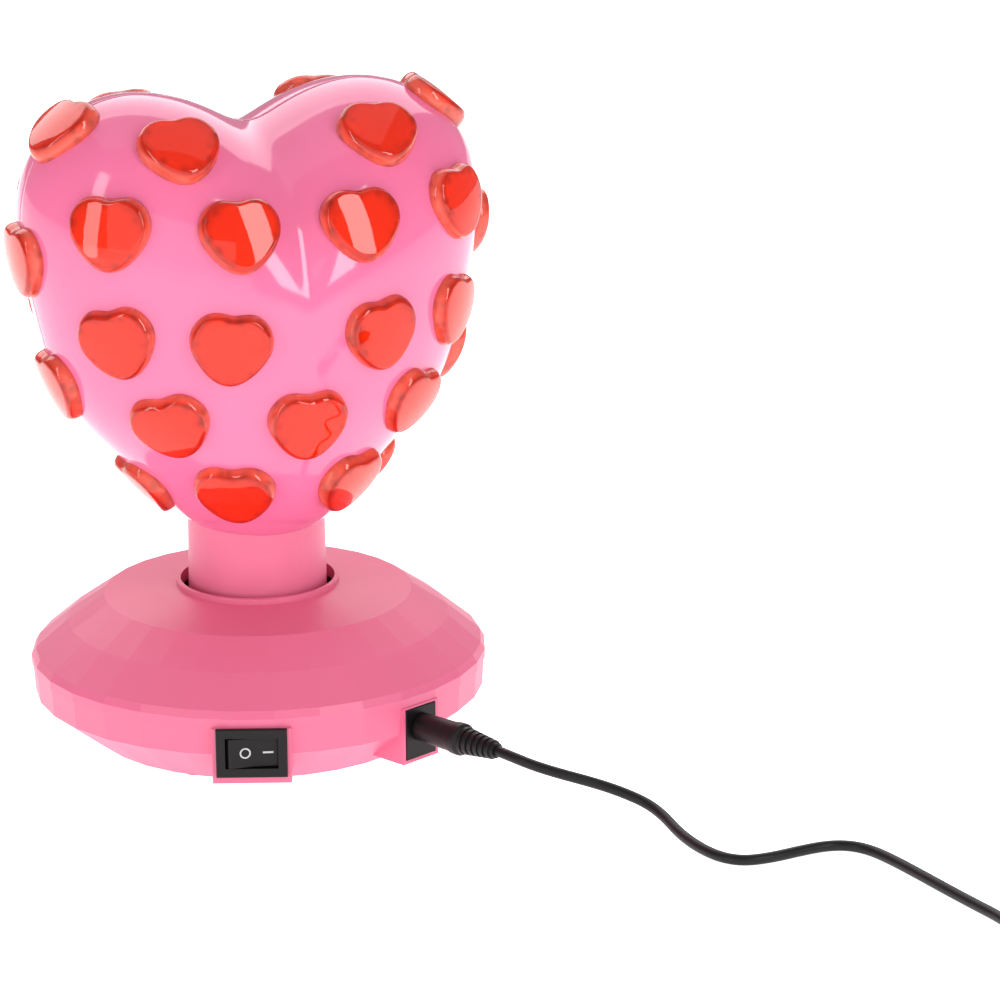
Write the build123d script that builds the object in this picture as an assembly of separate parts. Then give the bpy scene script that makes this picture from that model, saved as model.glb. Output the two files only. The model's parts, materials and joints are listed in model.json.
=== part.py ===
from build123d import *
import math
import os

# Table lamp with a heart-shaped head that turns on a faceted round base.
# Millimetres. The origin is on the turning axis, at the surface the feet stand on.
# +Z is up and -Y is the front, where the power switch is. A bearing (the word used
# for directions round the base) is counted from the front towards +X.

# ---- driving dimensions ----------------------------------------------------
WALL = 2.2                   # moulded wall of the base shells
FACETS = 32                  # flat sides round the base
FOOT_STAND = 0.8             # how far the rubber feet lift the pan
FLOOR_RADIUS = 52.1          # flat underside of the pan
PAN_EDGE_RADIUS = 69.3
PAN_EDGE_HEIGHT = 14.3
SEAM_RADIUS = 69.8
SEAM_HEIGHT = 22.9           # where the lower and upper shells meet
RIM_RADIUS = 70.2
RIM_HEIGHT = 26.9
RIM_BREAK = 1.3              # softened edge of the rim
SHOULDER_RADIUS = 58.7       # between the outer and the middle band of the dome
SHOULDER_HEIGHT = 36.3
CROWN_RADIUS = 47.5          # between the middle and the inner band
CROWN_HEIGHT = 43.9
COLLAR_RADIUS = 25.0
COLLAR_BASE = 46.4
COLLAR_TOP = 48.2
COLLAR_BORE = 23.75

NECK_FOOT_RADIUS = 21.45
NECK_TOP_RADIUS = 20.9
NECK_BORE = 18.8
NECK_BELOW_HEART = 59.1      # top of the neck to the heart's centre
NECK_FLANGE_RADIUS = 23.4
NECK_FLANGE = 1.8

HEART_CENTRE = 136.9         # height of the centre the outline is drawn from
HEART_DEPTH = 51.5           # centre plane to the fullest point, front or back
HEART_WALL = 2.2
LEAN_STEPS = 12              # rows and columns of points that the heart's skin passes through
BEARING_STEPS = 60
HEART_OUTLINE = (            # bearing from straight up, radius: one side, cleft to foot
    (0, 53.5), (12, 59.7), (30, 73.9), (55, 81.2),
    (85, 68.5), (115, 64.3), (145, 64.3), (180, 76.6),
)
HEAD_TURN = 21.6             # how far the head is turned at rest

LENS_WIDTH = 25.0
LENS_HEIGHT = 23.0
LENS_PROUD = 3.6             # lens face above the shell, measured at the lens centre
LENS_SKIRT = 5.0             # how far the lens reaches in through the shell
LENS_EDGE = 1.6              # rounding of the lens face
LENS_FIT = 0.15              # gap between a lens and its hole

GEAR_MODULE = 1.0
RING_TEETH = 48
PINION_TEETH = 16
GEAR_BASE = 27.8
RING_FACE = 6.0
PINION_FACE = 5.0
RUNNING_FIT = 0.08

SPINDLE_RADIUS = 8.0
SPINDLE_TOP = 45.0
COLUMN_RADIUS = 12.0
TOWER_FLANGE_RADIUS = 18.0
TOWER_FLANGE = 2.5
WASHER = 0.8
POST_RADIUS = 5.0
POST_BORE = 4.0
LAMPS_BELOW_HEART = 14.9     # top of the lamp post to the heart's centre
HEAT_SINK_RADIUS = 17.0
HEAT_SINK = 4.0
BOARD_RADIUS = 15.0
BOARD = 1.6
LAMP_CIRCLE = 10.0
LAMP_RADIUS = 2.5
LEAD_RADIUS = 0.7
LEAD_OFFSET = 2.6

MOTOR_RADIUS = 12.0
MOTOR_BASE = 7.0
MOTOR_TOP = 21.0
MOTOR_EAR_RADIUS = 4.0
MOTOR_EAR_OUT = 5.5          # motor's side to the screw in its ear
MOTOR_CLEARANCE = 1.0
MOTOR_PLATE = 1.4
SHAFT_RADIUS = 1.5
SHAFT_FOOT = 13.0

SWITCH_WIDTH = 21.0          # bezel of a small snap-in rocker switch
SWITCH_TALL = 15.0
SWITCH_CENTRE = 15.6
BEZEL = 1.3
BEZEL_LIP = 0.95             # bezel overlap round the switch body
SWITCH_DEPTH = 12.0
ROCKER_WINDOW = 15.6
ROCKER_TALL = 9.4
ROCKER_ARC = 8.55
ROCKER_PIVOT_DEPTH = 5.0
ROCKER_REST = 8.0            # rocker lean at rest; it swings twice this
POCKET_FACE = 70.3           # face of the boxes moulded on the pan
POCKET_RIM = 1.15
POCKET_SILL = 2.1            # box below the switch
POCKET_WALL = 1.1
ROCKER_PIN = 0.8
ROCKER_PIN_REACH = 5.3
TAB_WIDTH = 4.7
TAB = 0.8
TAB_LENGTH = 8.0

JACK_BEARING = 45.0
JACK_WIDTH = 12.4
JACK_TALL = 15.8
JACK_CENTRE = 14.3
JACK_AXIS = 15.8
JACK_FACE = 71.0
JACK_DEPTH = 13.0
BARREL_RADIUS = 2.75
BARREL_BORE = 1.25
BARREL_LENGTH = 9.5
PLUG_LENGTH = 31.0
PLUG_RIBS = 6
PLUG_RIB_PITCH = 2.1
PLUG_RIB_RADIUS = 4.2
PLUG_RIB_STEP = 0.24
PLUG_GROOVE = 0.6
JACK_BODY_TALL = 12.0
JACK_TAB = 0.6

CORD_RADIUS = 1.6
COIL_CENTRE = (232.0, -202.0)
COIL_RADIUS = 17.6           # middle of the turns
COIL_ROWS = 3                # turns side by side, and turns on each other
TIE = 0.6
TIE_BEARING = 135.0
TIE_WIDTH = 6.0

ADAPTER = (62.0, 40.0, 26.0)
ADAPTER_RELIEF = 22.0
PIN_RADIUS = 2.0
PIN_ROOT_RADIUS = 1.5        # the part of a pin that is moulded into the case
PIN_ROOT = 5.0
PIN_LENGTH = 19.0
PIN_SPACING = 19.0
CASE_WALL = 2.0
CASE_LID = 5.0               # height of the case half that carries the pins

SCREW_RADIUS = 1.45
SCREW_HOLE = 1.55
SCREW_SEAT = 8.8             # underside of a case screw's head
SCREW_HEAD_HOLE = 3.3
TOWER_SCREW = 1.0
TOWER_SCREW_CIRCLE = 15.2
TOWER_SCREW_BEARINGS = (30, 150, 270)
NECK_SCREW = 1.0
NECK_SCREW_BEARINGS = (60, 180, 300)
BOSS_RADIUS = 4.5
BOSS_CIRCLE = 46.0
BOSS_BEARINGS = (22.5, 112.5, 202.5, 292.5)
FOOT_BEARINGS = (67.5, 157.5, 247.5, 337.5)
FOOT_RADIUS = 4.75
FOOT_SINK = 1.0

# ---- places worked out from them --------------------------------------------
NECK_TOP = HEART_CENTRE - NECK_BELOW_HEART
POST_TOP = HEART_CENTRE - LAMPS_BELOW_HEART
MOTOR_EAR_REACH = MOTOR_RADIUS + MOTOR_EAR_OUT
FLOOR_TOP = FOOT_STAND + WALL
PAD_TOP = FLOOR_TOP + 3.0
COLUMN_TOP = GEAR_BASE - WASHER
NECK_FOOT = GEAR_BASE + RING_FACE
RING_PITCH = GEAR_MODULE * RING_TEETH / 2
PINION_PITCH = GEAR_MODULE * PINION_TEETH / 2
GEAR_CENTRES = RING_PITCH + PINION_PITCH
PINION_LOW = GEAR_BASE + (RING_FACE - PINION_FACE) / 2
NECK_SCREW_HEIGHT = NECK_FOOT + 2.6
WIRE_LEVEL = FLOOR_TOP + LEAD_RADIUS + 0.1
SWITCH_BOX_WIDTH = SWITCH_WIDTH + 2 * POCKET_RIM
SWITCH_BOX_BOTTOM = SWITCH_CENTRE - SWITCH_TALL / 2 - POCKET_SILL
JACK_BOX_WIDTH = JACK_WIDTH + 2 * POCKET_RIM
JACK_BOX_BOTTOM = JACK_CENTRE - JACK_TALL / 2 - POCKET_RIM
BEZEL_FACE = POCKET_FACE + BEZEL
SWITCH_BODY_WIDTH = SWITCH_WIDTH - 2 * BEZEL_LIP
SWITCH_BODY_TALL = SWITCH_TALL - 2 * BEZEL_LIP
COIL_STEP = 2 * CORD_RADIUS
COIL_BOTTOM = TIE
COIL_INNER = COIL_RADIUS - COIL_ROWS * COIL_STEP / 2
COIL_OUTER = COIL_RADIUS + COIL_ROWS * COIL_STEP / 2
COIL_TOP = COIL_BOTTOM + COIL_ROWS * COIL_STEP
ADAPTER_EXIT = (COIL_CENTRE[0] + 66.0, COIL_CENTRE[1] - COIL_RADIUS - COIL_STEP, ADAPTER[2] / 2)


def at_bearing(bearing, radius, height=0.0):
    """A location that looks outwards along a bearing: its X is outwards and its Z is up."""
    return Rot(0, 0, bearing - 90) * Pos(radius, 0, height)


def tube(outer, inner, low, high):
    ring = Plane.XY.offset(low) * (Circle(outer) - Circle(inner))
    return extrude(ring, high - low)


def rod(radius, low, high):
    return extrude(Plane.XY.offset(low) * Circle(radius), high - low)


def block(x, y, z):
    """A box given by its low and high values on each axis."""
    size = (x[1] - x[0], y[1] - y[0], z[1] - z[0])
    middle = ((x[0] + x[1]) / 2, (y[0] + y[1]) / 2, (z[0] + z[1]) / 2)
    return Pos(*middle) * Box(*size)


# ---- base shells ------------------------------------------------------------
def faceted(profile):
    """A stack of straight-sided frusta through (radius, height) rings."""
    turn = 180 / FACETS
    rings = [Plane.XY.offset(z) * RegularPolygon(r, FACETS, rotation=turn) for r, z in profile]
    return loft(rings, ruled=True)


def dome_profile(inset, drop):
    return [
        (RIM_RADIUS - inset, SEAM_HEIGHT - (0.0 if inset == 0 else 1.0)),
        (RIM_RADIUS - inset, RIM_HEIGHT - RIM_BREAK - drop / 2),
        (RIM_RADIUS - RIM_BREAK - inset, RIM_HEIGHT + RIM_BREAK * 0.7 - drop),
        (SHOULDER_RADIUS - inset / 2, SHOULDER_HEIGHT - drop),
        (CROWN_RADIUS - inset / 3, CROWN_HEIGHT - drop),
        (COLLAR_RADIUS, COLLAR_BASE - drop),
    ]


def upper_shell():
    outer = faceted(dome_profile(0.0, 0.0))
    shell = outer - faceted(dome_profile(WALL, WALL))
    post = rod(BOSS_RADIUS - 0.5, SEAM_HEIGHT + 0.2, CROWN_HEIGHT)
    shell += [(at_bearing(b, BOSS_CIRCLE) * post) & outer for b in BOSS_BEARINGS]
    collar = rod(COLLAR_RADIUS, COLLAR_BASE - WALL, COLLAR_TOP)
    collar = fillet(collar.edges().group_by(Axis.Z)[-1], 0.5)
    shell += collar
    shell -= rod(COLLAR_BORE, SEAM_HEIGHT, COLLAR_TOP + 1)
    for b in BOSS_BEARINGS:
        shell -= at_bearing(b, BOSS_CIRCLE) * rod(SCREW_HOLE, SEAM_HEIGHT, CROWN_HEIGHT - 2 * WALL)
    return shell


def pocket(bearing, width, bottom):
    """The box moulded on the pan round a switch or a jack, up to the seam."""
    return at_bearing(bearing, 0) * block((52, POCKET_FACE), (-width / 2, width / 2), (bottom, SEAM_HEIGHT))


def lower_shell():
    outer_rings = [(FLOOR_RADIUS, FOOT_STAND), (PAN_EDGE_RADIUS, PAN_EDGE_HEIGHT), (SEAM_RADIUS, SEAM_HEIGHT)]
    inner_rings = [
        (FLOOR_RADIUS - WALL / 2, FLOOR_TOP),
        (PAN_EDGE_RADIUS - WALL, PAN_EDGE_HEIGHT + 0.6),
        (SEAM_RADIUS - WALL, SEAM_HEIGHT),
    ]
    shell = faceted(outer_rings)
    shell += pocket(0, SWITCH_BOX_WIDTH, SWITCH_BOX_BOTTOM)
    shell += pocket(JACK_BEARING, JACK_BOX_WIDTH, JACK_BOX_BOTTOM)
    shell -= faceted(inner_rings)
    boxes = ((0, SWITCH_BOX_WIDTH, SWITCH_BOX_BOTTOM), (JACK_BEARING, JACK_BOX_WIDTH, JACK_BOX_BOTTOM))
    for bearing, width, bottom in boxes:
        frame = block((58, POCKET_FACE), (-width / 2, width / 2), (bottom, SEAM_HEIGHT))
        side = width / 2 - POCKET_WALL
        hollow = block((57, POCKET_FACE - WALL), (-side, side), (bottom + POCKET_WALL, SEAM_HEIGHT))
        shell += at_bearing(bearing, 0) * (frame - hollow)
        shell -= at_bearing(bearing, 0) * hollow
    shell -= at_bearing(0, 0) * block(
        (POCKET_FACE - WALL - 1, POCKET_FACE + 1),
        (-SWITCH_BODY_WIDTH / 2 - 0.1, SWITCH_BODY_WIDTH / 2 + 0.1),
        (SWITCH_CENTRE - SWITCH_BODY_TALL / 2 - 0.1, SWITCH_CENTRE + SWITCH_BODY_TALL / 2 + 0.1),
    )
    shell -= at_bearing(JACK_BEARING, 0) * block(
        (POCKET_FACE - WALL - 1, POCKET_FACE + 1),
        (-JACK_WIDTH / 2 - 0.1, JACK_WIDTH / 2 + 0.1),
        (JACK_CENTRE - JACK_TALL / 2 - 0.1, JACK_CENTRE + JACK_TALL / 2 + 0.1),
    )
    motor_screw_spots = [Pos(side * MOTOR_EAR_REACH, GEAR_CENTRES) for side in (-1, 1)]
    for spot in motor_screw_spots:
        shell += spot * rod(MOTOR_EAR_RADIUS, FLOOR_TOP - 0.5, MOTOR_TOP)
    for b in BOSS_BEARINGS:
        shell += at_bearing(b, BOSS_CIRCLE) * rod(BOSS_RADIUS, FOOT_STAND, SEAM_HEIGHT)
    for b in BOSS_BEARINGS:
        shell -= at_bearing(b, BOSS_CIRCLE) * rod(SCREW_HOLE, 0, SEAM_HEIGHT + 1)
        shell -= at_bearing(b, BOSS_CIRCLE) * rod(SCREW_HEAD_HOLE, 0, SCREW_SEAT)
    for b in FOOT_BEARINGS:
        shell -= at_bearing(b, BOSS_CIRCLE) * rod(FOOT_RADIUS + 0.1, 0, FOOT_STAND + FOOT_SINK)
    shell += rod(TOWER_FLANGE_RADIUS + 0.8, FLOOR_TOP - 0.5, PAD_TOP)
    for b in TOWER_SCREW_BEARINGS:
        shell -= at_bearing(b, TOWER_SCREW_CIRCLE) * rod(TOWER_SCREW + 0.05, FOOT_STAND + 1.2, PAD_TOP)
    for spot in motor_screw_spots:
        shell -= spot * rod(SCREW_HOLE, FLOOR_TOP + 2, MOTOR_TOP)
    return shell


def screw(radius, head_radius, head, under_head, length):
    """A pan-head screw pointing up, with the underside of its head at under_head."""
    top = rod(head_radius, under_head - head, under_head)
    top = fillet(top.edges().group_by(Axis.Z)[0], head * 0.45)
    return top + rod(radius, under_head, under_head + length)


def case_screws():
    one = screw(SCREW_RADIUS, 2.9, 2.0, SCREW_SEAT, 25.0)
    return [at_bearing(b, BOSS_CIRCLE) * one for b in BOSS_BEARINGS]


def rubber_feet():
    foot = rod(FOOT_RADIUS, 0, FOOT_STAND + FOOT_SINK)
    foot = fillet(foot.edges().group_by(Axis.Z)[0], 0.5)
    return [at_bearing(b, BOSS_CIRCLE) * foot for b in FOOT_BEARINGS]


# ---- turntable and drive ----------------------------------------------------
def gear_outline(teeth, phase):
    """Involute teeth with a short addendum. phase turns the first tooth, in degrees."""
    pitch = GEAR_MODULE * teeth / 2
    base = pitch * math.cos(math.radians(20))
    tip = pitch + 0.8 * GEAR_MODULE
    root = pitch - 1.05 * GEAR_MODULE
    backlash = 0.10

    def involute(radius):
        lean = math.acos(min(1.0, base / radius))
        return math.tan(lean) - lean

    half = math.pi / (2 * teeth) - backlash / (2 * pitch) + involute(pitch)
    start = max(base, root)
    radii = [start + (tip - start) * k / 4 for k in range(5)]
    flank = [(r, half - involute(r)) for r in radii]
    if root < base:
        flank = [(root, flank[0][1])] + flank
    points = []
    for tooth in range(teeth):
        middle = math.radians(phase) + 2 * math.pi * tooth / teeth
        side = [(r, middle - a) for r, a in flank] + [(r, middle + a) for r, a in reversed(flank)]
        points += [(r * math.cos(a), r * math.sin(a)) for r, a in side]
    return make_face(Polyline(*points, close=True))


def turntable_gear():
    gap_to_pinion = 90 + 180 / RING_TEETH
    gear = extrude(Plane.XY.offset(GEAR_BASE) * gear_outline(RING_TEETH, gap_to_pinion), RING_FACE)
    gear += tube(NECK_BORE - 0.1, NECK_BORE - 3.2, NECK_FOOT, NECK_FOOT + 5.0)
    gear -= rod(SPINDLE_RADIUS + RUNNING_FIT, GEAR_BASE, NECK_FOOT + 5.0)
    for b in NECK_SCREW_BEARINGS:
        gear -= at_bearing(b, 0, NECK_SCREW_HEIGHT) * radial_rod(NECK_SCREW + 0.05, NECK_BORE - 4, NECK_BORE)
    return gear


def radial_rod(radius, near, far):
    return Pos(near, 0, 0) * Rot(0, 90, 0) * extrude(Circle(radius), far - near)


def neck_tube():
    foot = Plane.XY.offset(NECK_FOOT) * Circle(NECK_FOOT_RADIUS)
    top = Plane.XY.offset(NECK_TOP) * Circle(NECK_TOP_RADIUS)
    neck = loft([foot, top]) + rod(NECK_FLANGE_RADIUS, NECK_TOP - NECK_FLANGE, NECK_TOP)
    neck -= rod(NECK_BORE, NECK_FOOT, NECK_TOP)
    for b in NECK_SCREW_BEARINGS:
        hole = radial_rod(NECK_SCREW + 0.05, NECK_BORE - 1, NECK_FOOT_RADIUS + 1)
        neck -= at_bearing(b, 0, NECK_SCREW_HEIGHT) * hole
    return neck


def neck_screws():
    head = radial_rod(1.8, NECK_FOOT_RADIUS, NECK_FOOT_RADIUS + 1.0)
    shank = radial_rod(NECK_SCREW, NECK_BORE - 3.0, NECK_FOOT_RADIUS)
    return [at_bearing(b, 0, NECK_SCREW_HEIGHT) * (head + shank) for b in NECK_SCREW_BEARINGS]


def centre_tower():
    tower = rod(TOWER_FLANGE_RADIUS, PAD_TOP, PAD_TOP + TOWER_FLANGE)
    tower += rod(COLUMN_RADIUS, PAD_TOP, COLUMN_TOP) + rod(SPINDLE_RADIUS, COLUMN_TOP, SPINDLE_TOP)
    tower -= rod(POST_RADIUS + 0.05, PAD_TOP, SPINDLE_TOP)
    tower -= Pos(0, GEAR_CENTRES) * rod(MOTOR_RADIUS + MOTOR_CLEARANCE, PAD_TOP - 1, COLUMN_TOP)
    for b in TOWER_SCREW_BEARINGS:
        tower -= at_bearing(b, TOWER_SCREW_CIRCLE) * rod(TOWER_SCREW + 0.05, PAD_TOP, PAD_TOP + TOWER_FLANGE)
    return tower


def tower_screws():
    head = PAD_TOP + TOWER_FLANGE
    one = rod(1.9, head, head + 1.3) + rod(TOWER_SCREW, head - 5.5, head)
    return [at_bearing(b, TOWER_SCREW_CIRCLE) * one for b in TOWER_SCREW_BEARINGS]


def thrust_washer():
    return tube(COLUMN_RADIUS, SPINDLE_RADIUS + 0.1, COLUMN_TOP, GEAR_BASE)


def gear_motor():
    can = Pos(0, GEAR_CENTRES) * rod(MOTOR_RADIUS, MOTOR_BASE, MOTOR_TOP + MOTOR_PLATE)
    ears = make_hull(
        [Pos(side * MOTOR_EAR_REACH, GEAR_CENTRES) * Circle(MOTOR_EAR_RADIUS).edge() for side in (-1, 1)]
    )
    motor = can + extrude(Plane.XY.offset(MOTOR_TOP) * ears, MOTOR_PLATE)
    for side in (-1, 1):
        hole = rod(SCREW_HOLE, MOTOR_TOP, MOTOR_TOP + MOTOR_PLATE)
        motor -= Pos(side * MOTOR_EAR_REACH, GEAR_CENTRES) * hole
    motor -= Pos(0, GEAR_CENTRES) * rod(SHAFT_RADIUS + 0.06, SHAFT_FOOT, MOTOR_TOP + MOTOR_PLATE)
    return motor


def motor_screws():
    head = MOTOR_TOP + MOTOR_PLATE
    one = rod(2.7, head, head + 1.8) + rod(SCREW_RADIUS, head - 9.0, head)
    return [Pos(side * MOTOR_EAR_REACH, GEAR_CENTRES) * one for side in (-1, 1)]


def motor_shaft():
    return Pos(0, GEAR_CENTRES) * rod(SHAFT_RADIUS, SHAFT_FOOT + 0.3, PINION_LOW + PINION_FACE + 0.8)


def drive_pinion():
    tooth_to_ring = -90
    pinion = extrude(Plane.XY.offset(PINION_LOW) * gear_outline(PINION_TEETH, tooth_to_ring), PINION_FACE)
    pinion += rod(4.0, PINION_LOW - 2.0, PINION_LOW)
    pinion -= rod(SHAFT_RADIUS, PINION_LOW - 2.0, PINION_LOW + PINION_FACE)
    return Pos(0, GEAR_CENTRES) * pinion


# ---- lamp -------------------------------------------------------------------
def lamp_post():
    return tube(POST_RADIUS, POST_BORE, PAD_TOP, POST_TOP)


def led_heat_sink():
    sink = rod(HEAT_SINK_RADIUS, POST_TOP, POST_TOP + HEAT_SINK)
    sink += rod(POST_RADIUS + 2.5, POST_TOP - 6, POST_TOP)
    sink -= rod(POST_RADIUS + 0.05, POST_TOP - 6, POST_TOP)
    for side in (-1, 1):
        sink -= Pos(side * LEAD_OFFSET, 0) * rod(LEAD_RADIUS + 0.2, POST_TOP, POST_TOP + HEAT_SINK)
    return sink


def led_board():
    return rod(BOARD_RADIUS, POST_TOP + HEAT_SINK, POST_TOP + HEAT_SINK + BOARD)


def led_lamps():
    foot = POST_TOP + HEAT_SINK + BOARD
    lamp = rod(LAMP_RADIUS, foot, foot + 3.5) + Pos(0, 0, foot + 3.5) * Sphere(LAMP_RADIUS)
    return [lamp] + [Rot(0, 0, 60 * k) * Pos(LAMP_CIRCLE, 0) * lamp for k in range(6)]


def lamp_leads():
    return [Pos(side * LEAD_OFFSET, 0) * rod(LEAD_RADIUS, PAD_TOP, POST_TOP + HEAT_SINK) for side in (-1, 1)]


# ---- heart shells and lenses ------------------------------------------------
def smooth_radius(points):
    """A smooth closed curve through (bearing, radius) points given for one side only."""
    angles = [-a for a, _ in reversed(points[1:])] + [a for a, _ in points]
    values = [r for _, r in reversed(points[1:])] + [r for _, r in points]
    count = len(angles) - 1
    steps = [angles[i + 1] - angles[i] for i in range(count)]
    rises = [(values[i + 1] - values[i]) / steps[i] for i in range(count)]
    slopes = [0.0] * (count + 1)
    for _ in range(200):
        for i in range(count):
            before, after = steps[i - 1], steps[i]
            pull = 3 * (rises[i - 1] * after + rises[i] * before)
            others = after * slopes[i - 1 if i else count - 1] + before * slopes[(i + 1) % count]
            slopes[i] = (pull - others) / (2 * (before + after))
        slopes[count] = slopes[0]

    def radius(bearing):
        bearing = (bearing + 180) % 360 - 180
        i = max(k for k in range(count) if angles[k] <= bearing)
        u = (bearing - angles[i]) / steps[i]
        start = (2 * u**3 - 3 * u**2 + 1) * values[i] + (u**3 - 2 * u**2 + u) * steps[i] * slopes[i]
        end = (3 * u**2 - 2 * u**3) * values[i + 1] + (u**3 - u**2) * steps[i] * slopes[i + 1]
        return start + end

    return radius


heart_radius = smooth_radius(HEART_OUTLINE)


def heart_point(lean, bearing, inset=0.0):
    """A point of the heart: lean is 0 at the middle of the front and 90 on the outline."""
    a = math.radians(lean)
    b = math.radians(bearing)
    out = (heart_radius(bearing) - inset) * math.sin(a)
    return (out * math.sin(b), -(HEART_DEPTH - inset) * math.cos(a), HEART_CENTRE + out * math.cos(b))


def heart_frame(lean, bearing, roll=0.0):
    """A location on the heart that looks outwards along its Z, with its Y axis up."""
    here = Vector(*heart_point(lean, bearing))
    along = Vector(*heart_point(lean + 0.05, bearing)) - Vector(*heart_point(lean - 0.05, bearing))
    across = Vector(*heart_point(lean, bearing + 0.05)) - Vector(*heart_point(lean, bearing - 0.05))
    normal = along.cross(across).normalized()
    if normal.dot(here - Vector(0, 0, HEART_CENTRE)) < 0:
        normal = normal * -1
    level = Vector(0, 0, 1).cross(normal).normalized()
    return Plane(origin=here, x_dir=level, z_dir=normal) * Rot(0, 0, roll)


def heart_half(inset):
    """The front half of the heart as a solid, cut flat at the centre plane."""
    rows = []
    for i in range(LEAN_STEPS + 1):
        lean = 90 * i / LEAN_STEPS
        bearings = [360 * j / BEARING_STEPS - 180 for j in range(BEARING_STEPS + 1)]
        rows.append([Vector(*heart_point(lean, bearing, inset)) for bearing in bearings])
    skin = Face.make_surface_from_array_of_points(rows, tol=0.01, min_deg=3, max_deg=5)
    rim = skin.edges().sort_by(Edge.length)[-1]
    return Solid(Shell([skin, Face(Wire([rim]))]))


# Lens places on the front half: (name, ((lean, bearing, roll), ...)).
LENS_ROWS = (
    ("top", ((55, -31.5, 4), (55, 31.5, -4))),
    ("upper", ((51, -60.5, 0), (27.5, -32.5, 0), (27.5, 32.5, 0), (51, 60.5, 0))),
    ("middle", ((52, -92.5, 12), (21, -98, -6), (21, 98, 6), (52, 92.5, -12))),
    ("lower", ((48, -127, 14), (22, 180, 0), (48, 127, -14))),
    ("bottom", ((50.5, -161, 0), (50.5, 161, 0))),
)
SIDE_LENSES = ((87, 48, -8), (89, 76, 0), (88, 109, -4), (88, 147, 0))


def lens_outline(grow=0.0):
    """A plump heart: two round lobes and a round tip, hulled side by side."""
    lobe = 0.3 * LENS_WIDTH
    tip = 0.17 * LENS_WIDTH
    rise = LENS_HEIGHT / 2 - lobe
    sides = []
    for side in (-1, 1):
        top = Pos(side * (LENS_WIDTH / 2 - lobe), rise) * Circle(lobe + grow).edge()
        foot = Pos(0, tip - LENS_HEIGHT / 2) * Circle(tip + grow).edge()
        sides.append(make_hull([top, foot]))
    return sides[0] + sides[1]


def lens_body():
    body = extrude(Plane.XY.offset(-LENS_SKIRT) * lens_outline(), LENS_SKIRT + LENS_PROUD)
    return fillet(body.edges().group_by(Axis.Z)[-1], LENS_EDGE)


def lens_cutter():
    return extrude(Plane.XY.offset(-LENS_SKIRT - 4) * lens_outline(LENS_FIT), LENS_SKIRT + LENS_PROUD + 8)


def place_lenses(spots, shape):
    """Copies of a shape at heart places; spots are (lean, bearing, roll)."""
    return [heart_frame(*spot) * shape for spot in spots]


def mirrored(shapes):
    return [mirror(shape, about=Plane.XZ) for shape in shapes]


def turned(shapes):
    """The head's pieces at rest: everything is drawn facing the front and then turned."""
    return [Rot(0, 0, HEAD_TURN) * shape for shape in shapes]


def side_spots(side):
    return [(lean, side * bearing, side * roll) for lean, bearing, roll in SIDE_LENSES]


def heart_shells_and_lenses():
    """Every piece of the heart, facing the front."""
    pieces = {}
    cutter = lens_cutter()
    lens = lens_body()
    front_cuts = []
    for name, spots in LENS_ROWS:
        front = place_lenses(spots, lens)
        pieces["front_lenses_" + name] = front
        pieces["back_lenses_" + name] = mirrored(front)
        front_cuts += place_lenses(spots, cutter)
    side_cuts = []
    for side, name in ((-1, "side_lenses_left"), (1, "side_lenses_right")):
        pieces[name] = place_lenses(side_spots(side), lens)
        side_cuts += place_lenses(side_spots(side), cutter)
    half = heart_half(0.0) - heart_half(HEART_WALL)
    half -= rod(NECK_TOP_RADIUS + 0.25, HEART_CENTRE - 90, NECK_TOP)
    front = half
    back = mirror(half, about=Plane.XZ)
    for cut in front_cuts:
        front -= cut
    for cut in mirrored(front_cuts):
        back -= cut
    for cut in side_cuts:
        front -= cut
        back -= cut
    pieces["heart_front"] = [front]
    pieces["heart_back"] = [back]
    return pieces


# ---- switch -----------------------------------------------------------------
def switch_body():
    body = block((BEZEL_FACE - SWITCH_DEPTH, POCKET_FACE), (-SWITCH_BODY_WIDTH / 2, SWITCH_BODY_WIDTH / 2),
                 (SWITCH_CENTRE - SWITCH_BODY_TALL / 2, SWITCH_CENTRE + SWITCH_BODY_TALL / 2))
    bezel = block((POCKET_FACE, BEZEL_FACE), (-SWITCH_WIDTH / 2, SWITCH_WIDTH / 2),
                  (SWITCH_CENTRE - SWITCH_TALL / 2, SWITCH_CENTRE + SWITCH_TALL / 2))
    bezel = fillet(bezel.edges().group_by(Axis.X)[-1], 0.4)
    window = block((POCKET_FACE - 0.1, BEZEL_FACE + 1), (-ROCKER_WINDOW / 2, ROCKER_WINDOW / 2),
                   (SWITCH_CENTRE - ROCKER_TALL / 2, SWITCH_CENTRE + ROCKER_TALL / 2))
    pivot = Pos(BEZEL_FACE - ROCKER_PIVOT_DEPTH, 0)
    chamber = pivot * rod(ROCKER_ARC + 0.15, SWITCH_CENTRE - ROCKER_TALL / 2, SWITCH_CENTRE + ROCKER_TALL / 2)
    chamber &= block((BEZEL_FACE - SWITCH_DEPTH + 1.2, POCKET_FACE), (-10, 10), (0, 30))
    pins = pivot * rod(ROCKER_PIN + 0.06, SWITCH_CENTRE - ROCKER_PIN_REACH, SWITCH_CENTRE + ROCKER_PIN_REACH)
    return at_bearing(0, 0) * (body + bezel - window - chamber - pins)


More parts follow.
